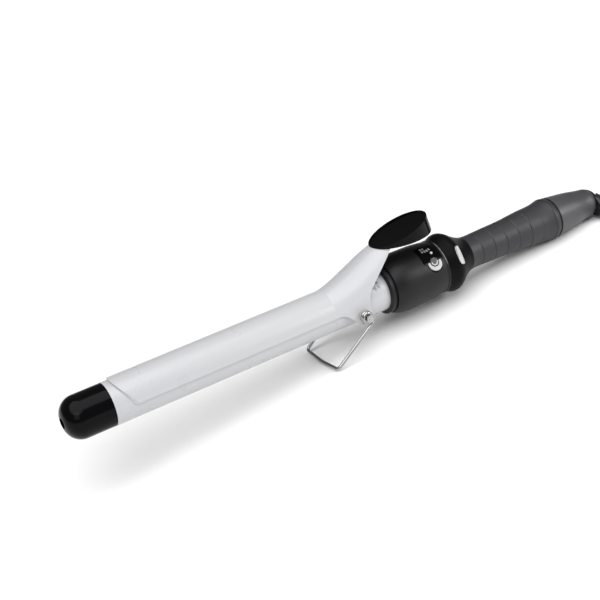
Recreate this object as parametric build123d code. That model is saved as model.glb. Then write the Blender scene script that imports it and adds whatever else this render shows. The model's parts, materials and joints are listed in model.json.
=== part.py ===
"""Curling iron: barrel, sprung clamp, wire stand, control head, grip and swivel cord, in millimetres.

The tool is drawn lying along X, with its tip at x = 0 and its axis at y = z = 0, and then tilted
to the way it rests on a table, on its wire stand and the thick end of its grip.
"""

import math
import os

from build123d import *

# Heated end
BARREL_R = 12.5
BARREL_WALL = 1.0
CAP_END_X = 26.4
BARREL_END_X = 219.0
SPREADER_X = (48.0, 172.0)

# Clamp
BLADE_R = 13.6
SHEET = 0.85
BLADE_X = (30.0, 166.0)
BLADE_EDGE_Z = 0.8
NOSE_LENGTH = 11.0
# Stations of the flared lever: x, outer radius of its rounded top, height of that round's centre
FLARE = [(166.0, 13.6, 0.0), (174.0, 14.0, 1.8), (183.0, 14.5, 4.9),
         (192.0, 14.2, 9.4), (201.0, 13.0, 14.6), (213.0, 11.4, 19.0)]
PIVOT_X = 183.0
PIVOT_Z = -3.5
PIN_R = 1.6
PIN_GAP = 0.06

# Thumb rest
REST_CENTRE = (222.3, 0.0, 33.0)
REST_TILT = 13.0
REST_HALF = (20.3, 12.2)
REST_BOTTOM = (216.0, 26.6)
REST_BOTTOM_SLOPE = -0.05
REST_SCREWS_X = (217.5, 232.0)
STOP_X, STOP_TIP_Z = 225.0, 22.5

# Stand
WIRE_R = 1.0
EYE_WIRE_R = 0.96
EYE_R = PIN_R + PIN_GAP + EYE_WIRE_R
STAND_CORNER = (159.3, 17.0, -28.5)
STAND_BOW = 0.8

# Head and collar
HEAD_X = (207.5, 243.8)
HEAD_OUTLINE = [(207.5, 15.6), (212.5, 17.4), (222.0, 17.9), (232.0, 17.7), (243.8, 16.4)]
HEAD_BORE = 14.2
SEAM_X = 245.2
COLLAR_OUTLINE = [(245.2, 16.2), (247.5, 16.9), (250.5, 18.1), (253.0, 18.3), (255.4, 17.4),
                  (258.5, 15.2), (262.5, 12.7), (267.5, 10.6)]
CORE_R = 7.9

# Grip
GRIP_X = (267.5, 334.8)
GRIP_OUTLINE = [(267.5, 10.6), (271.5, 10.2), (278.0, 10.3), (286.0, 10.5), (300.0, 10.9),
                (317.0, 12.05), (329.0, 13.0), (333.0, 13.6), (334.8, 13.2)]
GROOVES_X = [275.5, 284.8, 294.1, 303.4, 312.7, 322.0, 331.3]
GROOVE_DEPTH = 0.35
GROOVE_HALF = 0.5
FLANGE_X = (245.5, 247.6)
CORE_OUTLINE = [(FLANGE_X[1], CORE_R), (275.0, CORE_R), (300.0, 8.8), (331.0, 11.0), (341.0, 11.0)]
CORE_WALL = 1.8
RING_END_X = 336.2
CAP_OUTLINE = [(336.2, 13.2), (345.0, 12.3), (355.0, 10.95), (364.0, 9.4), (367.4, 8.8), (368.5, 8.2)]
CAP_REAR_X = 368.5

# Swivel and cord
BALL_X = 366.0
BALL_R = 7.6
DOME_R = 8.7
ROTOR_FACE_X = 368.8
SHAFT_R = 3.0
RUNNING_GAP = 0.08
CORD_R = 3.0

# Buttons
POWER_X = 236.0
POWER_TURN = 55.0
POWER_R = 2.9
POWER_SHIFT = 0.9
BEZEL_R = 4.6
WINDOW_ROUND_R = 5.5
OVAL_TURN = 59.0
OVAL_HALF = (2.1, 5.8)
OVAL_LEAN = 31.0
BUTTON_GAP = 0.12

# Rest pose: the stand's wire and the swollen end of the grip touch the table
FOOT_X, FOOT_R = 333.0, 13.6
BAR_X = STAND_CORNER[0] - STAND_BOW
BAR_Z = STAND_CORNER[2] - STAND_BOW
SPAN = math.hypot(FOOT_X - BAR_X, -FOOT_R - BAR_Z)
TILT = math.atan2(-FOOT_R - BAR_Z, FOOT_X - BAR_X) + math.asin(WIRE_R / SPAN)
LIFT = WIRE_R + BAR_X * math.sin(TILT) - BAR_Z * math.cos(TILT)
MIDDLE_X = 186.38


def rest_point(x, y, z):
    """A point of the tool's own frame, where it is at rest."""
    c, s = math.cos(TILT), math.sin(TILT)
    return (x * c + z * s - MIDDLE_X, y, -x * s + z * c + LIFT)


def rest_direction(x, y, z):
    """A direction of the tool's own frame, as it points at rest."""
    c, s = math.cos(TILT), math.sin(TILT)
    return (x * c + z * s, y, -x * s + z * c)


def tool_direction(x, y, z):
    """A direction at rest, in the tool's own frame."""
    c, s = math.cos(TILT), math.sin(TILT)
    return (x * c - z * s, y, x * s + z * c)


# Helpers

def turned(points):
    """A solid of revolution about X from a closed outline of straight sides (x, r)."""
    return revolve(make_face(Polyline(*points, close=True)), Axis.X, 360)


def turned_smooth(curve_points, inner_points):
    """A solid of revolution whose outside is one smooth curve and whose inside is straight sides."""
    curve = Spline(*curve_points)
    sides = Polyline(curve_points[-1], *inner_points, curve_points[0])
    return revolve(make_face(Curve() + [curve, sides]), Axis.X, 360)


def tube(x_from, x_to, r_out, r_in):
    return turned([(x_from, r_in), (x_from, r_out), (x_to, r_out), (x_to, r_in)])


def rod(x_from, x_to, r, y=0.0, z=0.0):
    """A round bar along X."""
    return Pos((x_from + x_to) / 2, y, z) * Rot(0, 90, 0) * Cylinder(r, x_to - x_from)


def cross_rod(y_from, y_to, r, x, z):
    """A round bar along Y."""
    return Pos(x, (y_from + y_to) / 2, z) * Rot(90, 0, 0) * Cylinder(r, y_to - y_from)


def bar(a, b, r):
    """A round bar from one point to another."""
    a, b = Vector(*a), Vector(*b)
    return Plane(origin=(a + b) / 2, z_dir=b - a) * Cylinder(r, (b - a).length)


def block(x_range, y_range, z_range):
    size = [b - a for a, b in (x_range, y_range, z_range)]
    middle = [(a + b) / 2 for a, b in (x_range, y_range, z_range)]
    return Pos(*middle) * Box(*size)


def mirrored_pair(shape):
    return [shape, mirror(shape, Plane.XZ)]


def offset_outline(points, by):
    return [(x, r + by) for x, r in points]


def on_skin(x, radius, turn, lean=0.0):
    """A plane on the skin, its Z outwards. Turn is from the top towards -Y; lean tips it to +X."""
    a = math.radians(turn)
    b = math.radians(lean)
    out = (math.sin(b), -math.sin(a) * math.cos(b), math.cos(a) * math.cos(b))
    along = (math.cos(b), math.sin(a) * math.sin(b), -math.cos(a) * math.sin(b))
    return Plane(origin=(x, -radius * math.sin(a), radius * math.cos(a)), x_dir=along, z_dir=out)


# Heated end

def barrel_tube():
    body = tube(CAP_END_X, BARREL_END_X, BARREL_R, BARREL_R - BARREL_WALL)
    return body - cross_rod(-15, 15, PIN_R, PIVOT_X, PIVOT_Z)


def tip_cap():
    """The domed tip: a flat end with a large round, and a spigot that plugs the barrel."""
    nose = 10.0
    flat = 2.4
    hole_r = 3.1
    lip_x = nose - math.sqrt(nose ** 2 - (hole_r - flat) ** 2)
    middle = math.radians(45)
    arc = ThreePointArc((lip_x, hole_r),
                        (nose - nose * math.sin(middle), flat + nose * math.cos(middle)),
                        (nose, flat + nose))
    side = Polyline((nose, flat + nose), (CAP_END_X, BARREL_R - 0.1), (CAP_END_X, 11.5), (36, 11.5),
                    (36, 1.6), (9, 1.6), (9, hole_r), (lip_x, hole_r))
    return revolve(make_face(Curve() + [arc, side]), Axis.X, 360)


def tip_screw():
    slot = block((6.2, 7.2), (-2.9, 2.9), (-0.4, 0.4))
    return rod(6.4, 9, 2.8) - slot + rod(9, 52, 1.6)


def heat_spreader(side):
    """Half an aluminium rod, with a slot for the heater and a channel along its back."""
    x_from, x_to = SPREADER_X
    half = rod(x_from, x_to, 11.4) & block((x_from, x_to), (-12, 12), (0.1, 12))
    half -= block((x_from + 8, x_to), (-7.6, 7.6), (0, 1.6))
    half -= block((x_from, x_to), (-2.0, 2.0), (7.6, 12))
    half -= rod(x_from - 1, 54, 1.6)
    return half if side > 0 else mirror(half, Plane.XY)


def heater_element():
    return block((SPREADER_X[0] + 10, SPREADER_X[1] - 4), (-7.4, 7.4), (-1.5, 1.5))


def temperature_sensor():
    return rod(112, 121, 1.5, z=9.4)


def thermal_fuse():
    return rod(134, 146, 1.8, z=-9.6)


def lead_wires():
    """Two heater leads, the sensor's lead and the fuse's two leads, as separate wires."""
    wires = [rod(SPREADER_X[1] - 4, 226, 0.8, y=y) for y in (-4.5, 4.5)]
    wires.append(rod(121, 226, 0.7, z=9.4))
    wires.append(rod(146, 226, 0.7, z=-9.6))
    return wires


def pivot_block():
    """A steel disc across the barrel that the pivot screws thread into."""
    disc = rod(PIVOT_X - 4.5, PIVOT_X + 4.5, 11.4)
    for y in (-4.5, 4.5):
        disc -= rod(PIVOT_X - 5, PIVOT_X + 5, 1.2, y=y)
    for z in (9.4, -9.6):
        disc -= rod(PIVOT_X - 5, PIVOT_X + 5, 1.0, z=z)
    for ends in ((7, 12), (-12, -7)):
        disc -= cross_rod(*ends, PIN_R, PIVOT_X, PIVOT_Z)
    return disc


def lead_insulator():
    disc = rod(192, 200, 11.4)
    for y in (-4.5, 4.5):
        disc -= rod(191, 201, 0.95, y=y)
    for z in (9.4, -9.6):
        disc -= rod(191, 201, 0.85, z=z)
    return disc


def barrel_flange():
    return tube(213.2, 216.5, HEAD_BORE - 0.05, BARREL_R + 0.02)


# Clamp

def flare_solid(inset):
    """The flared lever as a solid loft: a round top on straight sides, at each station."""
    faces = []
    for x, r, z in FLARE:
        side = r - inset
        arc = ThreePointArc((-side, z), (0, z + side), (side, z))
        legs = Polyline((side, z), (side, -14), (-side, -14), (-side, z))
        face = make_face(Curve() + [arc, legs])
        faces.append(Plane(origin=(x, 0, 0), x_dir=(0, 1, 0), z_dir=(1, 0, 0)) * face)
    return loft(faces)


def flare_lever(inset):
    """The lever's solid, cut off under the thumb rest's dish."""
    a, b = REST_HALF
    above = Pos(*REST_CENTRE) * Rot(0, -REST_TILT, 0) * Pos(0, 0, -2.0) * extrude(Ellipse(a - 1, b - 1), 30)
    return flare_solid(inset) - above


def flare_side():
    """The lever's side view, with its lower edge, the ear round the pivot and its rear edge."""
    edge = Spline((166.0, BLADE_EDGE_Z), (171.5, -0.3), (175.8, -3.9), (179.3, -7.6), (183.0, -9.6),
                  (186.8, -8.4), (188.9, -4.4), (188.6, 1.6), (189.6, 8.0), (193.8, 13.2),
                  (198.2, 17.2), (205.0, 22.8), (212.6, 28.4))
    rest = Polyline((212.6, 28.4), (212.6, 36), (166.0, 36), (166.0, BLADE_EDGE_Z))
    face = Plane.XZ * make_face(Curve() + [edge, rest])
    return extrude(face, 20, both=True)


def tongue():
    """The flat end of the lever, that the thumb rest is fixed to."""
    return Pos(223.5, 0, 29.3) * Rot(0, -5, 0) * Box(30, 15, 1.2)


def clamp_blade():
    x_from, x_to = BLADE_X
    shell = tube(x_from, x_to, BLADE_R, BLADE_R - SHEET)
    shell &= block((x_from, x_to), (-20, 20), (BLADE_EDGE_Z, 20))
    nose_x = x_from + NOSE_LENGTH
    outline = Pos(nose_x, 0) * Ellipse(NOSE_LENGTH, BLADE_R + 0.1)
    outline += Pos((nose_x + x_to) / 2, 0) * Rectangle(x_to - nose_x, 40)
    return shell & extrude(outline, 20)


def clamp():
    """The sprung clamp: a half-round blade, and a flared lever with an ear on each side."""
    flare = (flare_lever(0) - flare_solid(SHEET)) & flare_side()
    body = clamp_blade() + flare + tongue()
    for y in ((10, 17), (-17, -10)):
        body -= cross_rod(*y, PIN_R + PIN_GAP, PIVOT_X, PIVOT_Z)
    for x in REST_SCREWS_X:
        body -= rest_screw(x)
    return body


def rest_bottom(x):
    """Height of the pad's flat underside."""
    return REST_BOTTOM[1] + REST_BOTTOM_SLOPE * (x - REST_BOTTOM[0])


def thumb_rest_blank():
    """An oval pad: a dished top inside a narrow rim, tipped up at the back, on a flat underside."""
    a, b = REST_HALF
    pad = Pos(0, 0, -16) * extrude(Ellipse(a, b), 16)
    pad = Pos(*REST_CENTRE) * Rot(0, -REST_TILT, 0) * pad
    under = Rot(0, math.degrees(math.atan(-REST_BOTTOM_SLOPE)), 0) * Pos(0, 0, -20) * Box(80, 60, 40)
    pad -= Pos(REST_CENTRE[0], 0, rest_bottom(REST_CENTRE[0])) * under
    pad = fillet(pad.edges().group_by(Axis.Z)[0], 1.6)
    dish_r = 260.0
    dish = Pos(0, 0, dish_r - 1.1) * Sphere(dish_r) & Pos(0, 0, -3) * extrude(Ellipse(a - 1.0, b - 1.0), 5)
    return pad - Pos(*REST_CENTRE) * Rot(0, -REST_TILT, 0) * dish


def thumb_rest():
    body = thumb_rest_blank() - flare_lever(0)
    body -= tongue()
    for x in REST_SCREWS_X:
        body -= rest_screw(x)
    return body


def rest_screw(x):
    """A small screw up through the pad from below, into the tongue."""
    screw = Pos(0, 0, 0.9) * Cylinder(1.5, 1.2) + Pos(0, 0, 2.7) * Cylinder(0.8, 2.6)
    return Pos(x, 0, rest_bottom(x)) * screw


def stop_post():
    """A rubber post under the pad that meets the head when the clamp is fully open."""
    top = rest_bottom(STOP_X)
    return Pos(STOP_X, 0, (top + STOP_TIP_Z) / 2) * Cylinder(1.4, top - STOP_TIP_Z - 0.2)


def pivot_screws():
    """A shouldered screw on each side: the ear and the stand's eye turn on its shank."""
    screws = []
    for side in (1, -1):
        y_in, y_out = 7.0, 20.4
        shank = cross_rod(y_in, y_out, PIN_R, PIVOT_X, PIVOT_Z)
        head = cross_rod(y_out, y_out + 1.0, 2.3, PIVOT_X, PIVOT_Z)
        slot = block((PIVOT_X - 3, PIVOT_X + 3), (y_out + 0.6, y_out + 2), (PIVOT_Z - 0.3, PIVOT_Z + 0.3))
        screw = shank + head - slot
        screws.append(screw if side > 0 else mirror(screw, Plane.XZ))
    return screws


def pivot_washers():
    washer = cross_rod(14.75, 15.35, 3.4, PIVOT_X, PIVOT_Z) - cross_rod(14, 16, PIN_R, PIVOT_X, PIVOT_Z)
    return mirrored_pair(washer)


SPRING_X, SPRING_Z = 188.5, 16.3
SPRING_WIRE_R = 0.55
SPRING_COIL_R = 2.3
SPRING_TURNS = 5


def clamp_spring():
    """A closely wound torsion spring with one leg on the barrel and one under the clamp."""
    pitch = 2 * SPRING_WIRE_R - 0.05
    half = pitch * (SPRING_TURNS - 1) / 2
    turn = Rot(90, 0, 0) * Torus(SPRING_COIL_R, SPRING_WIRE_R)
    body = Pos(SPRING_X, -half, SPRING_Z) * turn
    for i in range(1, SPRING_TURNS):
        body += Pos(SPRING_X, -half + i * pitch, SPRING_Z) * turn
    low = SPRING_Z - SPRING_COIL_R
    leg_r = 0.94 * SPRING_WIRE_R
    leg = [(SPRING_X - 0.2, -half, low), (194.0, -7.0, 13.6), (196.4, -11.6, 11.2), (197.2, -12.1, 8.2)]
    for a, b in zip(leg, leg[1:]):
        body += bar(a, b, leg_r) + Pos(*b) * Sphere(leg_r)
    return body + bar((SPRING_X + 0.2, half, low), (SPRING_X - 8.5, half + 0.4, low + 1.5), leg_r)


def spring_saddle():
    """A bent bracket on the barrel that holds the spring's pin."""
    base = tube(SPRING_X - 3, SPRING_X + 3, BARREL_R + 0.7, BARREL_R + 0.02)
    base &= block((180, 200), (-5.6, 5.6), (5, 20))
    body = base
    for y in ((4.6, 5.6), (-5.6, -4.6)):
        body += block((SPRING_X - 1.6, SPRING_X + 2), y, (12.0, 17.4)) - rod(180, 200, BARREL_R + 0.02)
    return body - cross_rod(-6, 6, 0.8, SPRING_X, SPRING_Z)


def spring_pin():
    return cross_rod(-5.9, 5.9, 0.8, SPRING_X, SPRING_Z)


# Stand

def stand():
    """One bent wire: an eye of two turns on each side, two legs and a slightly bowed crossbar."""
    x, y, z = STAND_CORNER
    ring_y = 18.3
    knee = (PIVOT_X + 3.0, PIVOT_Z - 4.5)
    start = (PIVOT_X + EYE_R, PIVOT_Z - 0.2)
    path = FilletPolyline((start[0], -ring_y, start[1]), (knee[0], -ring_y, knee[1]), (x, -y, z),
                          (x - STAND_BOW, 0, z - STAND_BOW), (x, y, z), (knee[0], ring_y, knee[1]),
                          (start[0], ring_y, start[1]), radius=[1.8, 2.4, 60, 2.4, 1.8])
    section = Plane(origin=path @ 0, z_dir=path % 0) * Circle(WIRE_R)
    body = sweep(section, path)
    for side in (1, -1):
        for offset in (0, 1.75):
            ring = Rot(90, 0, 0) * Torus(EYE_R, EYE_WIRE_R)
            body += Pos(PIVOT_X, side * (ring_y - offset), PIVOT_Z) * ring
    return body


# Head

def front_ring():
    return turned([(203.6, 12.65), (203.6, 14.3), (204.2, 15.1), (206.2, 15.1), (206.4, 14.4),
                   (HEAD_X[0], 14.4), (HEAD_X[0], 13.35), (212.0, 13.35), (212.0, 12.65)])


def control_window_prism(grow, low, high):
    """The control window's outline, pushed through the skin. Low and high count from the skin."""
    panel = RectangleRounded(14.6 + 2 * grow, 14.4 + 2 * grow, 2.6 + grow)
    body = on_skin(235.9, 17.6, 33.0) * Pos(0, 0, low) * extrude(panel, high - low)
    return body + power_place() * Pos(0, 0, low) * extrude(Circle(WINDOW_ROUND_R + grow), high - low)


def button_hole(turn, x, r, low=-7.0, high=4.0, radius=17.6):
    return on_skin(x, radius, turn) * Pos(0, 0, low) * extrude(Circle(r), high - low)


def head_skin(by_out, by_in):
    """The shell between two offsets of the head's outline."""
    def solid(by):
        pts = offset_outline(HEAD_OUTLINE, by)
        return turned_smooth(pts, [(pts[-1][0], 0), (pts[0][0], 0)])
    return solid(by_out) - solid(by_in)


def head_housing():
    body = turned_smooth(HEAD_OUTLINE, [(HEAD_X[1], HEAD_BORE), (212.1, HEAD_BORE), (212.1, 13.4),
                                        (HEAD_X[0], 13.4)])
    body -= head_skin(1.0, -1.1) & control_window_prism(0, -8, 4)
    body -= button_hole(POWER_TURN, POWER_X, BEZEL_R)
    body -= button_hole(LED_TURN, LED_X, LED_R)
    body -= bars_prism(0)
    return body


LED_X, LED_TURN, LED_R = 237.4, 33.0, 0.8
BARS = [(232.6, 24.0), (234.4, 24.0), (236.2, 24.0), (238.0, 22.0), (232.6, 17.0), (234.4, 17.0)]


def bars_prism(grow):
    """Small square windows through the housing and the control window, for the indicator bars."""
    body = None
    for x, turn in BARS:
        piece = on_skin(x, 17.6, turn) * Pos(0, 0, -3.8) * extrude(Rectangle(1.25 + grow, 1.65 + grow), 4.6)
        body = piece if body is None else body + piece
    return body


def crescent(grow):
    """The silver crescent's outline: a disc cut by the button's hole and open towards the top."""
    outline = Circle(BEZEL_R + grow) - Pos(0, POWER_SHIFT) * Circle(POWER_R + BUTTON_GAP - grow)
    return outline & Pos(0, 1.2 + grow - 10) * Rectangle(20, 20)


def power_place():
    return on_skin(POWER_X, 17.6, POWER_TURN)


def button_bore(low, high):
    return power_place() * Pos(0, POWER_SHIFT, low) * extrude(Circle(POWER_R + BUTTON_GAP), high - low)


def control_window():
    body = head_skin(0.12, -1.05) & control_window_prism(-0.06, -8, 4)
    body -= power_place() * Pos(0, 0, -7) * extrude(crescent(0), 11)
    body -= button_bore(-7, 4)
    body -= bars_prism(0)
    return body - button_hole(LED_TURN, LED_X, LED_R)


def indicator_bars():
    return bars_prism(-0.1) - head_skin(3.0, 0.1)


def status_light():
    return button_hole(LED_TURN, LED_X, LED_R - 0.03, low=-3.4, high=0.35)


def button_ring():
    """A ring in the housing, behind the control window, with the silver crescent standing on it."""
    base = Pos(0, 0, -3.2) * extrude(Circle(BEZEL_R - 0.04), 1.2)
    face = Pos(0, 0, -3.2) * extrude(crescent(-0.03), 3.5)
    return power_place() * (base + face) - button_bore(-4, 4)


def power_button():
    """A round cap that slides inside the crescent, with a wider foot behind it."""
    cap = Pos(0, POWER_SHIFT, -3.3) * extrude(Circle(POWER_R), 3.75)
    cap = fillet(cap.edges().group_by(Axis.Z)[-1], 0.4)
    foot = Pos(0, POWER_SHIFT, -3.9) * extrude(Circle(3.5), 0.6)
    return power_place() * (cap + foot)


def power_switch():
    body = Pos(0, POWER_SHIFT, -7.2) * extrude(Rectangle(5.0, 5.0), 2.0)
    return power_place() * (body + Pos(0, POWER_SHIFT, -5.2) * extrude(Circle(1.2), 0.5))


def control_board():
    place = on_skin(234.5, 17.6, POWER_TURN)
    return place * Pos(0, 0, -8.8) * extrude(Rectangle(15, 15.5), 1.6)


def board_parts():
    """The chips and the connector on the back of the board."""
    place = on_skin(234.5, 17.6, POWER_TURN)
    low = -8.8
    return [place * Pos(x, y, low - h) * extrude(Rectangle(a, b), h)
            for x, y, a, b, h in ((-3.5, 0.5, 5, 5, 1.2), (4.5, -3.0, 3, 6, 2.6), (4.0, 4.5, 2.4, 1.4, 0.9))]


def seam_ring():
    return turned([(243.8, 13.0), (243.8, 16.55), (244.1, 16.75), (244.9, 16.75), (SEAM_X, 16.55),
                   (SEAM_X, 13.0)])


# Collar

def oval_place():
    return on_skin(254.2, 17.9, OVAL_TURN, OVAL_LEAN)


def oval_prism(grow, low, high):
    a, b = OVAL_HALF
    return oval_place() * Pos(0, 0, low) * extrude(Ellipse(a + grow, b + grow), high - low)


def collar():
    inner = [(267.5, 8.3), (255.0, 8.3), (255.0, 13.6), (SEAM_X, 13.6)]
    body = turned_smooth(COLLAR_OUTLINE, inner)
    body -= oval_prism(1.0, -0.9, 6)
    return body - oval_prism(BUTTON_GAP, -12, 2)


def oval_button():
    """The chrome button: an almond-shaped cap with a crowned top, guided by the collar."""
    crown_r = 9.0
    top = 0.3
    cap = oval_prism(0, -5.6, top)
    return cap & oval_place() * Pos(0, 0, top - crown_r) * Rot(90, 0, 0) * Cylinder(crown_r, 20)


def oval_switch():
    return oval_place() * Pos(0, 0, -8.5) * extrude(Rectangle(3.0, 5.0), 2.0)


# Grip

def core_half(side):
    """Half of the moulded core: a flange in the collar and a tapered tube under the rubber."""
    outer = CORE_OUTLINE
    inner = [(x, r - CORE_WALL) for x, r in reversed(outer)]
    body = turned(outer + inner)
    body += tube(FLANGE_X[0], FLANGE_X[1], 13.3, CORE_R - CORE_WALL)
    body &= block((240, 350), (-20, 20), (0.02, 20) if side > 0 else (-20, -0.02))
    for screw in core_screws():
        body -= screw
    return body


def groove_cuts():
    cuts = []
    xs = [p[0] for p in GRIP_OUTLINE]
    for x in GROOVES_X:
        i = max(k for k, value in enumerate(xs) if value <= x)
        (x0, r0), (x1, r1) = GRIP_OUTLINE[i], GRIP_OUTLINE[i + 1]
        r = r0 + (r1 - r0) * (x - x0) / (x1 - x0)
        cuts.append(turned([(x - GROOVE_HALF, r + 1), (x - GROOVE_HALF, r), (x, r - GROOVE_DEPTH),
                            (x + GROOVE_HALF, r), (x + GROOVE_HALF, r + 1)]))
    return cuts


def grip_sleeve():
    inner = [(GRIP_X[1], 11.05), (331.0, 11.05), (300.0, 8.85), (275.0, CORE_R + 0.05),
             (GRIP_X[0], CORE_R + 0.05)]
    body = turned_smooth(GRIP_OUTLINE, inner)
    for cut in groove_cuts():
        body -= cut
    return body


def end_ring():
    return tube(GRIP_X[1], RING_END_X, 12.6, 11.05)


def end_cap():
    """The rear cap: it closes the grip and holds the swivel's ball in a round seat."""
    inner = [(CAP_REAR_X, 6.2), (360.5, 6.2), (360.5, 9.2), (341.2, 9.9), (341.2, 11.05), (RING_END_X, 11.05)]
    body = turned_smooth(CAP_OUTLINE, inner)
    return body - Pos(BALL_X, 0, 0) * Sphere(BALL_R + RUNNING_GAP)


def swivel_bush():
    outer = [(354.5, 9.3), (357.5, 9.25)]
    return turned([(354.5, SHAFT_R + RUNNING_GAP), outer[0], outer[1], (357.5, SHAFT_R + RUNNING_GAP)])


def brush_holder():
    """An insulating disc in the grip core that carries the two brushes."""
    body = rod(330.0, 333.0, 8.6)
    for y in (5.6, -5.6):
        body -= block((329, 334), (y - 1.0, y + 1.0), (-1.6, 1.6))
    return body - rod(329, 334, 1.4)


def brushes():
    """A springy copper finger on each side, reaching back to its own slip ring."""
    fingers = []
    for y, tip in ((5.6, 349.5), (-5.6, 344.0)):
        side = 1 if y > 0 else -1
        arm = block((328, tip), (y - 0.3, y + 0.3), (-1.4, 1.4))
        pad = block((tip - 1.4, tip), tuple(sorted((side * 4.35, y))), (-1.4, 1.4))
        fingers.append(arm + pad)
    return fingers


def swivel_rotor():
    """The turning end: a ball held by the end cap, its dome outside and its shaft inside."""
    neck_r = 3.6
    ball_from = BALL_X - math.sqrt(BALL_R ** 2 - neck_r ** 2)
    mouth_r = math.sqrt(BALL_R ** 2 - (CAP_REAR_X - BALL_X) ** 2)
    rim_r = math.sqrt(DOME_R ** 2 - (ROTOR_FACE_X - BALL_X) ** 2)
    shaft = Polyline((340.5, 0), (340.5, SHAFT_R), (351.6, SHAFT_R), (351.6, 5.0), (353.0, 5.0),
                     (353.0, SHAFT_R), (358.6, SHAFT_R), (358.6, neck_r), (ball_from, neck_r))
    ball = ThreePointArc((ball_from, neck_r), (BALL_X, BALL_R), (CAP_REAR_X, mouth_r))
    step = Polyline((CAP_REAR_X, mouth_r), (ROTOR_FACE_X, mouth_r), (ROTOR_FACE_X, rim_r))
    turn = math.radians(45)
    dome = ThreePointArc((ROTOR_FACE_X, rim_r),
                         (BALL_X + DOME_R * math.cos(turn), DOME_R * math.sin(turn)), (BALL_X + DOME_R, 0))
    back = Line((BALL_X + DOME_R, 0), (340.5, 0))
    return revolve(make_face(Curve() + [shaft, ball, step, dome, back]), Axis.X, 360)


def slip_rings():
    return [tube(342.4, 344.4, 4.3, SHAFT_R), tube(347.9, 349.9, 4.3, SHAFT_R)]


def core_screws():
    """Two screws across the flange, holding the halves of the core together."""
    x = (FLANGE_X[0] + FLANGE_X[1]) / 2
    screws = []
    for y in (11.0, -11.0):
        screws.append(Pos(x, y, 5.6) * Cylinder(0.9, 1.4) + Pos(x, y, 0.4) * Cylinder(0.5, 9.2))
    return screws


def supply_leads():
    """Two wires along the core, from the brushes to the control board."""
    return [rod(243.0, 329.5, 0.7, y=y) for y in (-4.55, 4.55)]


# Cord

# Centres, directions and radii of the boot's rings, in the tool's own frame: it bends towards -Y
BOOT = [((371.0, -3.8, -1.0), (0.62, -0.77, -0.16), 7.0), ((373.9, -9.8, -2.8), (0.45, -0.88, -0.16), 6.2),
        ((379.6, -18.2, -3.5), (0.62, -0.78, -0.04), 5.2), ((388.4, -26.4, -3.4), (0.78, -0.62, 0.02), 4.4)]
BOOT_END = (397.2, -31.6, -3.3)
BOOT_END_R = 3.7


def cord_boot():
    """The tapered rubber boot on the swivel's dome; its end faces along the cord."""
    end_direction = tool_direction(*[b - a for a, b in zip(ROUTE[0], ROUTE[1])])
    rings = []
    for centre, direction, radius in BOOT + [(BOOT_END, end_direction, BOOT_END_R)]:
        rings.append(Plane(origin=centre, z_dir=direction) * Circle(radius))
    body = loft(rings)
    body -= block((340, ROTOR_FACE_X + 0.1), (-30, 30), (-30, 30))
    return body - Pos(BALL_X, 0, 0) * Sphere(DOME_R)


# Places of the cord, hank and plug, at rest on the table
HANK_MIDDLE = (327.0, -23.0)
HANK_HEIGHT = 18.0
HANK_END_X = 38.0
HANK_END_R = 27.0
HANK_WAIST = 16.0
TIE_HALF = 5.0
TIE_THICK = 1.0
# The cord's route from the boot to the hank; its first point is the boot's end
ROUTE = [rest_point(*BOOT_END), (227.5, -41.2, 3.2), (249.0, -46.9, 3.1), (270.0, -46.9, 3.1)]
PLUG_BODY_X = (300.0, 337.0)
PLUG_BOOT_END_X = 357.0
PLUG_Y = HANK_MIDDLE[1] + 18.0
PLUG_HALF_WIDTH = 17.65
PLUG_HALF_THICK = 6.85
PLUG_Z = HANK_HEIGHT + PLUG_HALF_THICK + 0.05
PLUG_PIN_R = 2.0
PLUG_PIN_LENGTH = 19.0
PLUG_PIN_NECK = 0.3
PLUG_PIN_ROUND = 0.9
PLUG_PIN_SPACING = 18.6


def cord_radii(points):
    """The arc at each corner: 0.45 of its shorter run over the tangent of half the turn."""
    radii = []
    for a, b, c in zip(points, points[1:], points[2:]):
        into, out = Vector(*b) - Vector(*a), Vector(*c) - Vector(*b)
        half_turn = math.radians(into.get_angle(out) / 2)
        radii.append(0.45 * min(into.length, out.length) / math.tan(half_turn))
    return radii


def turned_round(shape):
    """The shape turned half round about the hank's middle, so that the plug's pins face +X."""
    x, y = HANK_MIDDLE
    return Pos(x, y, 0) * Rot(0, 0, 180) * Pos(-x, -y, 0) * shape


def mains_cord():
    radii = cord_radii(ROUTE)
    path = FilletPolyline(*ROUTE, radius=radii)
    body = sweep(Plane(origin=path @ 0, z_dir=path % 0) * Circle(CORD_R), path)
    print("cord arc radii", [round(r, 1) for r in radii], "length", round(path.length, 1),
          "volume over section times length", round(body.volume / (math.pi * CORD_R ** 2 * path.length), 4))
    return body


def hank_tie():
    x, y = HANK_MIDDLE
    outer = block((x - TIE_HALF, x + TIE_HALF), (y - HANK_WAIST - TIE_THICK, y + HANK_WAIST + TIE_THICK),
                  (0, HANK_HEIGHT))
    outer = fillet(outer.edges().filter_by(Axis.X), 3.0)
    inner = block((x - TIE_HALF, x + TIE_HALF), (y - HANK_WAIST, y + HANK_WAIST),
                  (TIE_THICK, HANK_HEIGHT - TIE_THICK))
    return outer - fillet(inner.edges().filter_by(Axis.X), 2.0)


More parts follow.
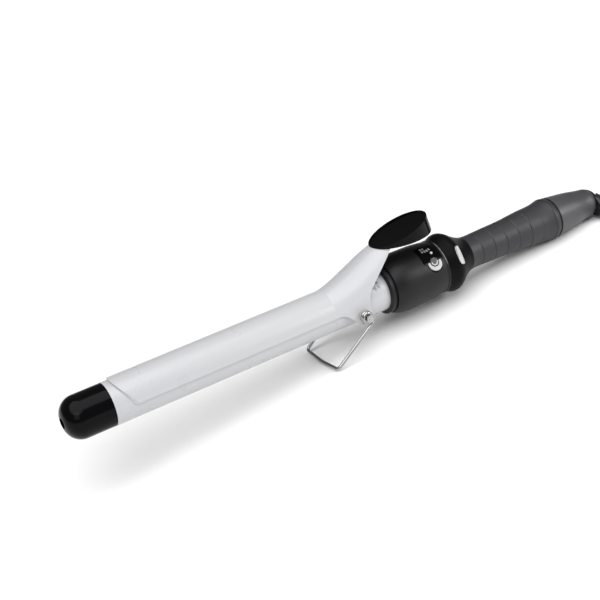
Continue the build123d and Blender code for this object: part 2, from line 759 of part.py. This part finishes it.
def cord_hank():
    """The outer shape of the wound cord: two round ends and a tied waist, with its two cord ends."""
    x, y = HANK_MIDDLE
    outline = Rectangle(2 * HANK_END_X, 2 * HANK_WAIST)
    for side in (-1, 1):
        outline += Pos(side * HANK_END_X, 0) * Circle(HANK_END_R)
    body = Pos(x, y, 0) * extrude(outline, HANK_HEIGHT)
    start_x, start_y, start_z = ROUTE[-1]
    body += rod(start_x, x - HANK_END_X - 8, CORD_R, y=start_y, z=start_z)
    tail = FilletPolyline((PLUG_BOOT_END_X, PLUG_Y, PLUG_Z), (369.0, PLUG_Y, PLUG_Z),
                          (381.0, -13.0, 20.5), (384.0, -26.0, 14.5), radius=[13, 13])
    body += turned_round(sweep(Plane(origin=tail @ 0, z_dir=tail % 0) * Circle(CORD_R), tail))
    ring = block((x - TIE_HALF, x + TIE_HALF), (y - 20, y + 20), (-1, HANK_HEIGHT + 1))
    inner = block((x - TIE_HALF, x + TIE_HALF), (y - HANK_WAIST, y + HANK_WAIST),
                  (TIE_THICK, HANK_HEIGHT - TIE_THICK))
    return body - (ring - fillet(inner.edges().filter_by(Axis.X), 2.0))


def plug_outline(x):
    """The plug's cross-section: a flattened hexagon with rounded corners."""
    w, t = PLUG_HALF_WIDTH, PLUG_HALF_THICK
    points = [(w, 0.9), (w - 6.5, t), (-(w - 6.5), t), (-w, 0.9), (-w, -0.9), (-(w - 6.5), -t),
              (w - 6.5, -t), (w, -0.9)]
    face = make_face(Polyline(*points, close=True))
    return Plane(origin=(x, PLUG_Y, PLUG_Z), x_dir=(0, 1, 0), z_dir=(1, 0, 0)) * face


def plug_body():
    """A flat two-pin plug with a tapered tail."""
    front, rear = PLUG_BODY_X
    body = extrude(plug_outline(front), rear - front - 9)
    place = Plane(origin=(rear - 9, PLUG_Y, PLUG_Z), x_dir=(0, 1, 0), z_dir=(1, 0, 0))
    wide = place * RectangleRounded(2 * PLUG_HALF_WIDTH - 1.4, 2 * PLUG_HALF_THICK - 1.0, 4.0)
    narrow = place.offset(9) * RectangleRounded(17.0, 11.0, 5.0)
    body += loft([wide, narrow])
    body += Pos((rear + PLUG_BOOT_END_X) / 2, PLUG_Y, PLUG_Z) * Rot(0, 90, 0) * Cone(
        5.2, 3.7, PLUG_BOOT_END_X - rear)
    body = turned_round(body)
    for pin in plug_pins():
        body -= pin
    return body


def plug_pins():
    """The two pins, each on a thinner root that is moulded into the body."""
    front = PLUG_BODY_X[0]
    pins = []
    for side in (-1, 1):
        y = PLUG_Y + side * PLUG_PIN_SPACING / 2
        pin = rod(front - PLUG_PIN_LENGTH, front - PLUG_PIN_NECK, PLUG_PIN_R, y=y, z=PLUG_Z)
        pin = fillet(pin.edges().group_by(Axis.X)[0], PLUG_PIN_ROUND)
        pins.append(turned_round(pin + rod(front - PLUG_PIN_NECK, front + 8, 1.6, y=y, z=PLUG_Z)))
    return pins


TOOL_PARTS = {
    "barrel_tube": barrel_tube, "tip_cap": tip_cap, "tip_screw": tip_screw,
    "heat_spreader_upper": lambda: heat_spreader(1), "heat_spreader_lower": lambda: heat_spreader(-1),
    "heater_element": heater_element, "temperature_sensor": temperature_sensor,
    "thermal_fuse": thermal_fuse, "lead_wires": lead_wires, "pivot_block": pivot_block,
    "lead_insulator": lead_insulator, "barrel_flange": barrel_flange,
    "clamp": clamp, "thumb_rest": thumb_rest,
    "thumb_rest_screws": lambda: [rest_screw(x) for x in REST_SCREWS_X], "stop_post": stop_post,
    "pivot_screws": pivot_screws, "pivot_washers": pivot_washers, "clamp_spring": clamp_spring,
    "spring_saddle": spring_saddle, "spring_pin": spring_pin, "stand": stand,
    "front_ring": front_ring, "head_housing": head_housing, "control_window": control_window,
    "indicator_bars": indicator_bars, "status_light": status_light, "button_ring": button_ring,
    "power_button": power_button, "power_switch": power_switch, "control_board": control_board,
    "board_parts": board_parts, "seam_ring": seam_ring, "collar": collar, "oval_button": oval_button,
    "oval_switch": oval_switch,
    "grip_core_upper": lambda: core_half(1), "grip_core_lower": lambda: core_half(-1),
    "grip_sleeve": grip_sleeve, "end_ring": end_ring, "end_cap": end_cap, "swivel_bush": swivel_bush,
    "core_screws": core_screws, "supply_leads": supply_leads, "brush_holder": brush_holder,
    "brushes": brushes, "swivel_rotor": swivel_rotor, "slip_rings": slip_rings, "cord_boot": cord_boot,
}
TABLE_PARTS = {
    "mains_cord": mains_cord, "cord_hank": cord_hank, "hank_tie": hank_tie, "plug_body": plug_body,
    "plug_pins": plug_pins,
}


def write(name, shape, place):
    pieces = shape if isinstance(shape, list) else [shape]
    solids = [solid for piece in pieces for solid in (place * piece).solids()]
    export_step(solids[0] if len(solids) == 1 else Compound(children=solids), f"parts/{name}.step")


def main():
    os.makedirs("parts", exist_ok=True)
    at_rest = Pos(-MIDDLE_X, 0, LIFT) * Rot(0, math.degrees(TILT), 0)
    for name, make in TOOL_PARTS.items():
        write(name, make(), at_rest)
    for name, make in TABLE_PARTS.items():
        write(name, make(), Pos(0, 0, 0))


main()
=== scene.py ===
"""A curling iron at rest on its wire stand: camera, light, floor, cord and the finish of every part."""
import json
import math

import bpy
from mathutils import Matrix, Vector


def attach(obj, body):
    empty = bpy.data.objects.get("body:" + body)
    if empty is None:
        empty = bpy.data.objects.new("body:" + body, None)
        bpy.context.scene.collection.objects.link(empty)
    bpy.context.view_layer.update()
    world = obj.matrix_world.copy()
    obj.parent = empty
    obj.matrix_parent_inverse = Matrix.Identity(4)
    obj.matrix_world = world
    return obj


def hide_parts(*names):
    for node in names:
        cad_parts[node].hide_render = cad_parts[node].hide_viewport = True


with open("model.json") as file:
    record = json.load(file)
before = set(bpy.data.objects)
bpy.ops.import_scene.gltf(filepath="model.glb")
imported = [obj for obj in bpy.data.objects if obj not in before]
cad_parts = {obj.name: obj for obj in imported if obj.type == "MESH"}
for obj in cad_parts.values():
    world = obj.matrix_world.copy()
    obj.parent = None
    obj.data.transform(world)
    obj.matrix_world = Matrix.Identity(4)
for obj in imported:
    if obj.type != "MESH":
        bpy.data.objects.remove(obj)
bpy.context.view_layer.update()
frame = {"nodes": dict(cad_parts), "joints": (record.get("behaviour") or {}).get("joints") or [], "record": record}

NODES = frame["nodes"]
JOINTS = {joint["name"]: joint for joint in frame["joints"]}

# The tool's own frame: x = 0 at the tip, X along its axis, Z up through the clamp
SWIVEL_X = 0.366
POWER_X = 0.236
POWER_TURN = 55.0
POWER_SHIFT = 0.0009
TOOL_X = Vector(JOINTS["cord_swivel"]["axis"]).normalized()
TOOL_Y = Vector((0, 1, 0))
TOOL_Z = TOOL_X.cross(TOOL_Y)
TOOL_ORIGIN = Vector(JOINTS["cord_swivel"]["pos_m"]) - SWIVEL_X * TOOL_X
TOOL = Matrix.Translation(TOOL_ORIGIN) @ Matrix((TOOL_X, TOOL_Y, TOOL_Z)).transposed().to_4x4()

# The cord and its hank, in millimetres
CORD_D = 6.0
BOOT_END = (208.70, -31.6, 4.13)
CORD_RUN = [BOOT_END, (227.5, -41.2, 3.2), (249.0, -46.9, 3.1), (270.0, -46.9, 3.1)]
HANK_MIDDLE = (327.0, -23.0)
HANK_END_X = 38.0
OUTER_R, INNER_R = 24.0, 18.0
OUTER_WAIST, INNER_WAIST = 12.9, 6.9
LAYERS = (3.1, 9.05, 15.0)
PLUG_END = (297.0, -41.0, 24.9)
STEP_ANGLE = 50.0
RIGHT_ANGLES = (-100, -50, 0, 50, 100)
LEFT_ANGLES = (80, 130, 180, 230, 280)
# Along a round end: shares of a move sideways, the first step of a climb, and the climb to the plug
SHARES = (0.0, 0.2, 0.5, 0.8, 1.0)
CLIMB_STEP = 1.2
LAST_CLIMB = (0.0, 1.2, 4.2, 8.2)
# How far the cord's last corner is behind the plug's end, and below it
BESIDE_PLUG = (9.0, 0.2)

FLOOR_SIZE = 6.0


# Nodes of a material

class Finish:
    """A Principled material, with short ways to add the nodes for its surface detail."""

    def __init__(self, name, colour, roughness, metallic=0.0, coat=0.0, specular=0.5):
        self.material = bpy.data.materials.new(name)
        self.material.use_nodes = True
        self.tree = self.material.node_tree
        self.shader = self.tree.nodes["Principled BSDF"]
        self.set("Base Color", (*colour, 1.0))
        self.set("Roughness", roughness)
        self.set("Metallic", metallic)
        self.set("Coat Weight", coat)
        self.set("Coat Roughness", 0.06)
        self.set("Specular IOR Level", specular)
        self.coords = self.node("ShaderNodeTexCoord").outputs["Object"]
        self.height = None

    def node(self, kind, **settings):
        node = self.tree.nodes.new(kind)
        for key, value in settings.items():
            setattr(node, key, value)
        return node

    def join(self, out, into):
        self.tree.links.new(out, into)

    def set(self, socket, value):
        self.shader.inputs[socket].default_value = value

    def in_tool_frame(self):
        """Coordinates in the tool's own frame, in metres."""
        mapping = self.node("ShaderNodeMapping", vector_type="TEXTURE")
        mapping.inputs["Location"].default_value = TOOL.to_translation()
        mapping.inputs["Rotation"].default_value = TOOL.to_euler()
        self.join(self.coords, mapping.inputs["Vector"])
        return mapping.outputs["Vector"]

    def stretched(self, vector, scale):
        mapping = self.node("ShaderNodeMapping")
        mapping.inputs["Scale"].default_value = scale
        self.join(vector, mapping.inputs["Vector"])
        return mapping.outputs["Vector"]

    def noise(self, scale, detail=3.0, rough=0.55, vector=None):
        noise = self.node("ShaderNodeTexNoise")
        noise.inputs["Scale"].default_value = scale
        noise.inputs["Detail"].default_value = detail
        noise.inputs["Roughness"].default_value = rough
        self.join(vector or self.coords, noise.inputs["Vector"])
        return noise.outputs["Fac"]

    def ramp(self, value, low, high, to_low, to_high):
        ramp = self.node("ShaderNodeMapRange")
        for key, number in (("From Min", low), ("From Max", high), ("To Min", to_low), ("To Max", to_high)):
            ramp.inputs[key].default_value = number
        self.join(value, ramp.inputs["Value"])
        return ramp.outputs["Result"]

    def math(self, operation, a, b=None):
        node = self.node("ShaderNodeMath", operation=operation)
        for socket, value in zip(node.inputs, (a, b)):
            if value is None:
                continue
            if isinstance(value, (int, float)):
                socket.default_value = value
            else:
                self.join(value, socket)
        return node.outputs["Value"]

    def mix(self, factor, a, b):
        """A colour from a to b by the factor; a and b are colours or colour outputs."""
        mix = self.node("ShaderNodeMix", data_type="RGBA")
        self.join(factor, mix.inputs["Factor"])
        for socket, value in (("A", a), ("B", b)):
            target = [s for s in mix.inputs if s.name == socket and s.type == "RGBA"][0]
            if isinstance(value, tuple):
                target.default_value = (*value, 1.0)
            else:
                self.join(value, target)
        return [s for s in mix.outputs if s.type == "RGBA"][0]

    def colour(self, output):
        self.join(output, self.shader.inputs["Base Color"])

    def uneven(self, scale, low, high, vector=None):
        """Roughness that wanders between two values."""
        self.join(self.ramp(self.noise(scale, vector=vector), 0.3, 0.7, low, high),
                  self.shader.inputs["Roughness"])

    def bump(self, value, strength, distance):
        bump = self.node("ShaderNodeBump")
        bump.inputs["Strength"].default_value = strength
        bump.inputs["Distance"].default_value = distance
        self.join(value, bump.inputs["Height"])
        if self.height is not None:
            self.join(self.height, bump.inputs["Normal"])
        self.height = bump.outputs["Normal"]
        self.join(self.height, self.shader.inputs["Normal"])


def tool_xyz(finish):
    """The three coordinates in the tool's own frame."""
    split = finish.node("ShaderNodeSeparateXYZ")
    finish.join(finish.in_tool_frame(), split.inputs[0])
    return split.outputs


def turn_from_top(finish, y, z):
    """The angle round the tool from its top towards -Y, in degrees."""
    angle = finish.math("ARCTAN2", finish.math("MULTIPLY", y, -1.0), z)
    return finish.math("MULTIPLY", angle, 180 / math.pi)


def band(finish, value, low, high, soft):
    """1 between low and high and 0 outside, with soft edges."""
    up = finish.ramp(value, low - soft, low, 0.0, 1.0)
    down = finish.ramp(value, high, high + soft, 1.0, 0.0)
    return finish.math("MULTIPLY", up, down)


# Finishes

def ceramic_coat():
    """A sprayed, fired coat: pale, semi-gloss, with a faint orange peel and a warmer heated middle."""
    f = Finish("ceramic_coat", (0.51, 0.512, 0.528), 0.3, coat=0.2, specular=0.4)
    f.set("Coat Roughness", 0.16)
    x = tool_xyz(f)[0]
    warm = f.math("MULTIPLY", band(f, x, 0.07, 0.15, 0.03), f.ramp(f.noise(30, 4), 0.3, 0.75, 0.1, 0.55))
    tone = f.mix(warm, (0.51, 0.512, 0.53), (0.5, 0.5, 0.508))
    specks = f.ramp(f.noise(2600, 1), 0.70, 0.78, 0.0, 0.35)
    f.colour(f.mix(specks, tone, (0.42, 0.42, 0.435)))
    f.uneven(55, 0.25, 0.35)
    f.bump(f.noise(900, 2), 0.10, 0.0002)
    f.bump(f.noise(160, 2), 0.08, 0.0004)
    return f.material


def gloss_black():
    """Moulded black plastic with a polished face and a little mould waviness."""
    f = Finish("gloss_black", (0.0025, 0.0025, 0.003), 0.12, specular=0.09)
    f.uneven(140, 0.1, 0.18)
    f.bump(f.noise(90, 2), 0.05, 0.0005)
    f.bump(f.noise(1800, 2), 0.03, 0.0001)
    return f.material


def satin_black(name, colour, low, high, specular):
    """Soft-touch black: a fine even grain, matt, with a broad sheen and a few handled patches."""
    f = Finish(name, colour, (low + high) / 2, specular=specular)
    patches = f.ramp(f.noise(22, 4), 0.35, 0.7, 0.0, 1.0)
    lighter = tuple(c * 1.35 + 0.002 for c in colour)
    f.colour(f.mix(patches, colour, lighter))
    f.uneven(60, low, high)
    f.bump(f.noise(3200, 2, 0.7), 0.22, 0.0001)
    return f.material


def grip_rubber():
    """Ribbed rubber: finely pebbled, dusty in the grooves."""
    f = Finish("grip_rubber", (0.024, 0.024, 0.027), 0.5, specular=0.4)
    cells = f.node("ShaderNodeTexVoronoi", feature="F1")
    cells.inputs["Scale"].default_value = 1500
    f.join(f.coords, cells.inputs["Vector"])
    geometry = f.node("ShaderNodeNewGeometry")
    dusty = f.math("MULTIPLY", f.ramp(geometry.outputs["Pointiness"], 0.44, 0.5, 1.0, 0.0),
                   f.ramp(f.noise(260, 3), 0.35, 0.65, 0.2, 1.0))
    f.colour(f.mix(dusty, (0.026, 0.026, 0.029), (0.05, 0.05, 0.052)))
    f.uneven(90, 0.42, 0.55)
    f.bump(cells.outputs["Distance"], 0.25, 0.0001)
    f.bump(f.noise(240, 3), 0.08, 0.0003)
    return f.material


def plated(name, colour, low, high, brushed=None):
    """Metal: even plating, or fine brushing that is stretched along one direction."""
    f = Finish(name, colour, (low + high) / 2, metallic=1.0)
    if brushed is None:
        f.uneven(400, low, high)
        f.bump(f.noise(900, 2), 0.03, 0.0001)
        return f.material
    lines = f.noise(1.0, 4, 0.6, vector=f.stretched(f.coords, brushed))
    f.join(f.ramp(lines, 0.3, 0.7, low, high), f.shader.inputs["Roughness"])
    f.bump(lines, 0.12, 0.0001)
    return f.material


def satin_metal(name, colour, low, high):
    """A small part with a metallic lacquer: half paint and half plating, so that it stays evenly lit; on a plated
    part the pale paint half is a painted reflection.
    """
    f = Finish(name, colour, (low + high) / 2, metallic=0.45)
    flakes = f.ramp(f.noise(5200, 1), 0.6, 0.75, 0.0, 0.5)
    f.colour(f.mix(flakes, colour, tuple(c * 0.85 for c in colour)))
    f.uneven(500, low, high)
    f.bump(f.noise(2200, 2), 0.04, 0.0001)
    return f.material


def plain(name, colour, roughness):
    """A plain moulded or fired finish: its own colour with a little tone and grain."""
    f = Finish(name, colour, roughness, specular=0.4)
    tone = f.ramp(f.noise(120, 3), 0.35, 0.65, 0.0, 1.0)
    f.colour(f.mix(tone, colour, tuple(c * 0.8 for c in colour)))
    f.uneven(200, roughness * 0.85, min(1.0, roughness * 1.15))
    f.bump(f.noise(900, 2), 0.12, 0.0001)
    return f.material


def cord_pvc():
    """Extruded PVC: satin, with faint draw lines and a little dust."""
    f = Finish("cord_pvc", (0.012, 0.012, 0.013), 0.4, specular=0.4)
    dust = f.ramp(f.noise(420, 4), 0.5, 0.8, 0.0, 0.6)
    f.colour(f.mix(dust, (0.012, 0.012, 0.013), (0.04, 0.04, 0.042)))
    f.uneven(150, 0.34, 0.47)
    f.bump(f.noise(1400, 2), 0.10, 0.0001)
    return f.material


def power_cap():
    """The button's glossy cap, with a pale arc round its lower side."""
    f = Finish("power_cap", (0.006, 0.006, 0.007), 0.15, specular=0.25)
    x, y, z = tool_xyz(f)
    turn = math.radians(POWER_TURN)
    u = f.math("ADD", x, -POWER_X)
    v = f.math("ADD", f.math("MULTIPLY", y, math.cos(turn)), f.math("MULTIPLY", z, math.sin(turn)))
    v = f.math("ADD", v, -POWER_SHIFT)
    across = f.math("SQRT", f.math("ADD", f.math("MULTIPLY", u, u), f.math("MULTIPLY", v, v)))
    arc = f.math("MULTIPLY", band(f, across, 0.00155, 0.0022, 0.00008), f.ramp(v, 0.0, 0.0004, 1.0, 0.0))
    f.colour(f.mix(arc, (0.006, 0.006, 0.007), (0.42, 0.42, 0.43)))
    f.uneven(300, 0.1, 0.2)
    f.bump(f.noise(1500, 2), 0.03, 0.0001)
    return f.material


def seam_finish():
    """A satin seam ring with a fine pale line round its upper controls side."""
    f = Finish("seam", (0.008, 0.008, 0.009), 0.35, specular=0.25)
    x, y, z = tool_xyz(f)
    turn = turn_from_top(f, y, z)
    line = f.math("MULTIPLY", band(f, x, 0.24425, 0.24465, 0.00008), band(f, turn, 14.0, 58.0, 10.0))
    worn = f.ramp(f.noise(900, 3), 0.35, 0.6, 0.3, 1.0)
    f.colour(f.mix(f.math("MULTIPLY", line, worn), (0.008, 0.008, 0.009), (0.24, 0.24, 0.245)))
    f.uneven(200, 0.34, 0.44)
    f.bump(f.noise(2500, 2), 0.12, 0.0001)
    return f.material


FINISHES = {
    "ceramic_coat": ceramic_coat(),
    "gloss_black": gloss_black(),
    "satin_black": satin_black("satin_black", (0.006, 0.006, 0.007), 0.38, 0.47, 0.24),
    "grip_rubber": grip_rubber(),
    "steel": plated("steel", (0.42, 0.42, 0.43), 0.25, 0.4),
    "spring_steel": plated("spring_steel", (0.4, 0.4, 0.41), 0.2, 0.32),
    "aluminium": plated("aluminium", (0.62, 0.62, 0.64), 0.3, 0.45, brushed=(40, 2500, 2500)),
    "ceramic": plain("ceramic", (0.7, 0.69, 0.65), 0.6),
    "nylon": plain("nylon", (0.55, 0.53, 0.48), 0.45),
    "board_green": plain("board_green", (0.02, 0.12, 0.05), 0.35),
    "chip_black": plain("chip_black", (0.015, 0.015, 0.016), 0.5),
    "copper": plated("copper", (0.72, 0.36, 0.2), 0.2, 0.34),
    "brass": plated("brass", (0.72, 0.53, 0.24), 0.16, 0.28, brushed=(60, 1800, 1800)),
    "cord_pvc": cord_pvc(),
    "light_white": plain("light_white", (0.62, 0.64, 0.66), 0.25),
    "seam_grey": seam_finish(),
    "silicone_wire": plain("silicone_wire", (0.6, 0.58, 0.52), 0.5),
    "glass_bead": plain("glass_bead", (0.5, 0.3, 0.14), 0.15),
}

# Nodes whose finish isn't their slot's
OWN_FINISHES = {
    # The collar: a darker, less reflective copy of its slot's satin black, painted shade for the shade it sits in
    "collar": satin_black("collar_black_painted_shade", (0.0025, 0.0025, 0.003), 0.34, 0.44, 0.06),
    # The end cap: a greyer, lit copy of its slot's satin black, its lighter colour a painted sheen
    "end_cap": satin_black("cap_black_painted_sheen", (0.04, 0.04, 0.043), 0.34, 0.44, 0.55),
    "stand": plated("stand_wire", (0.4, 0.4, 0.405), 0.14, 0.24),
    "pivot_screws": plated("screw_plate", (0.42, 0.42, 0.43), 0.16, 0.28),
    "power_button": power_cap(),
    # The oval: pale half-paint on its plating, a painted reflection standing in for its bright chrome glint
    "oval_button": satin_metal("oval_plate_painted_reflection", (0.82, 0.82, 0.83), 0.22, 0.32),
    "button_ring": satin_metal("ring_paint", (0.36, 0.36, 0.365), 0.38, 0.5),
    "indicator_bars": plain("indicator_print", (0.3, 0.3, 0.31), 0.35),
}


def paint_nodes():
    """Every CAD node gets its own finish, or else that of its material slot."""
    for part in frame["record"]["subparts"]:
        for slot in NODES[part["node"]].material_slots:
            slot.material = OWN_FINISHES.get(part["node"]) or FINISHES[part["material_slot"]]


# Pieces

def moved(a, b):
    """Radii along a round end that move from one row of turns to the other."""
    return [a + (b - a) * share for share in SHARES]


def bulged(radius, by):
    """Radii along a round end that stand off by the given amount in the middle."""
    return [radius, radius + by / 2, radius + by, radius + by / 2, radius]


def climbed(a, b):
    """Heights along a round end that climb from one layer to the next."""
    return [a, a + CLIMB_STEP, (a + b) / 2, b - CLIMB_STEP, b]


def round_end(side, angles, radii, heights):
    """Points round one end of the hank; side is 1 at the right, away from the tool, and -1 at the left."""
    x0, y0 = HANK_MIDDLE
    points = []
    for angle, radius, height in zip(angles, radii, heights):
        out = radius / math.cos(math.radians(STEP_ANGLE / 2))
        turn = math.radians(angle)
        points.append((x0 + side * HANK_END_X + out * math.cos(turn), y0 + out * math.sin(turn), height))
    return points


def hank_points():
    """The cord's turns in the hank, one after another, and its way up to the plug."""
    x0, y0 = HANK_MIDDLE
    low, middle, high = LAYERS
    o, i = OUTER_R, INNER_R
    # For each turn: its radius, its height, and the radii and heights round its left end
    turns = [
        (o, low, moved(o, i), [low] * 5),
        (i, low, bulged(i, -2.0), climbed(low, middle)),
        (i, middle, moved(i, o), [middle] * 5),
        (o, middle, bulged(o, 2.0), climbed(middle, high)),
        (o, high, moved(o, i), [high] * 5),
        (i, high, [i] * 4, [high + rise for rise in LAST_CLIMB]),
    ]
    points = [(x0 - HANK_END_X, y0 - OUTER_R + 0.1, low)]
    for radius, height, left_radii, left_heights in turns:
        waist = OUTER_WAIST if radius == OUTER_R else INNER_WAIST
        points.append((x0, y0 - waist, height))
        points += round_end(1, RIGHT_ANGLES, [radius] * 5, [height] * 5)
        points.append((x0, y0 + waist, height))
        points += round_end(-1, LEFT_ANGLES, left_radii, left_heights)
    back, drop = BESIDE_PLUG
    points.append((x0 - HANK_END_X - back, PLUG_END[1], PLUG_END[2] - drop))
    points.append(PLUG_END)
    return points


def mains_cord():
    """The whole cord as one curve, in place of the CAD's short run and its hank."""
    curve = bpy.data.curves.new("mains_lead", "CURVE")
    curve.dimensions = "3D"
    curve.bevel_depth = CORD_D / 2000
    curve.bevel_resolution = 5
    curve.resolution_u = 10
    curve.use_fill_caps = True
    points = CORD_RUN + hank_points()
    spline = curve.splines.new("NURBS")
    spline.points.add(len(points) - 1)
    for point, place in zip(spline.points, points):
        point.co = (*[c / 1000 for c in place], 1.0)
    spline.order_u = 3
    spline.use_endpoint_u = True
    cord = bpy.data.objects.new("mains_lead", curve)
    bpy.context.scene.collection.objects.link(cord)
    curve.materials.append(FINISHES["cord_pvc"])
    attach(cord, "cord_side")
    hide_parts("mains_cord", "cord_hank")


# Scene

def floor():
    bpy.ops.mesh.primitive_plane_add(size=FLOOR_SIZE, location=(0, 0, 0))
    plane = bpy.context.object
    plane.name = "floor"
    f = Finish("floor", (0.92, 0.92, 0.92), 0.8, specular=0.1)
    plane.data.materials.append(f.material)


def softbox(name, place, aim, size, power):
    light = bpy.data.lights.new(name, "AREA")
    light.shape = "RECTANGLE"
    light.size, light.size_y = size
    light.energy = power
    obj = bpy.data.objects.new(name, light)
    bpy.context.scene.collection.objects.link(obj)
    obj.location = place
    obj.rotation_euler = (Vector(aim) - Vector(place)).to_track_quat("-Z", "Y").to_euler()


def lights():
    world = bpy.data.worlds.new("studio")
    bpy.context.scene.world = world
    world.use_nodes = True
    background = world.node_tree.nodes["Background"]
    background.inputs["Color"].default_value = (1, 1, 1, 1)
    background.inputs["Strength"].default_value = 0.14
    sky = bpy.data.lights.new("sky", "SUN")
    sky.energy = 3.0
    sky.angle = math.radians(75)
    obj = bpy.data.objects.new("sky", sky)
    bpy.context.scene.collection.objects.link(obj)
    obj.rotation_euler = Vector((0.15, 0.2, -1.0)).to_track_quat("-Z", "Y").to_euler()
    softbox("key", (-0.9, -0.9, 0.8), (0, 0, 0.03), (0.8, 0.8), 2.5)
    softbox("fill", (0.9, -0.8, 0.5), (0.05, 0, 0.03), (0.6, 0.6), 8.0)


def camera():
    """The photograph's view, set from the tool's own frame."""
    right = Vector((0.8399, -0.5218, -0.1495))
    up = Vector((0.3474, 0.3052, 0.8867))
    back = right.cross(up).normalized()
    up = back.cross(right.normalized())
    data = bpy.data.cameras.new("camera")
    data.sensor_width = 36.0
    data.lens = 78.0
    data.clip_start = 0.01
    obj = bpy.data.objects.new("camera", data)
    bpy.context.scene.collection.objects.link(obj)
    place = Matrix((right.normalized(), up, back)).transposed().to_4x4()
    obj.matrix_world = TOOL @ Matrix.Translation((-0.1571, -0.5888, 0.3374)) @ place
    bpy.context.scene.camera = obj


paint_nodes()
mains_cord()
floor()
lights()
camera()
bpy.context.scene.view_settings.view_transform = "Standard"
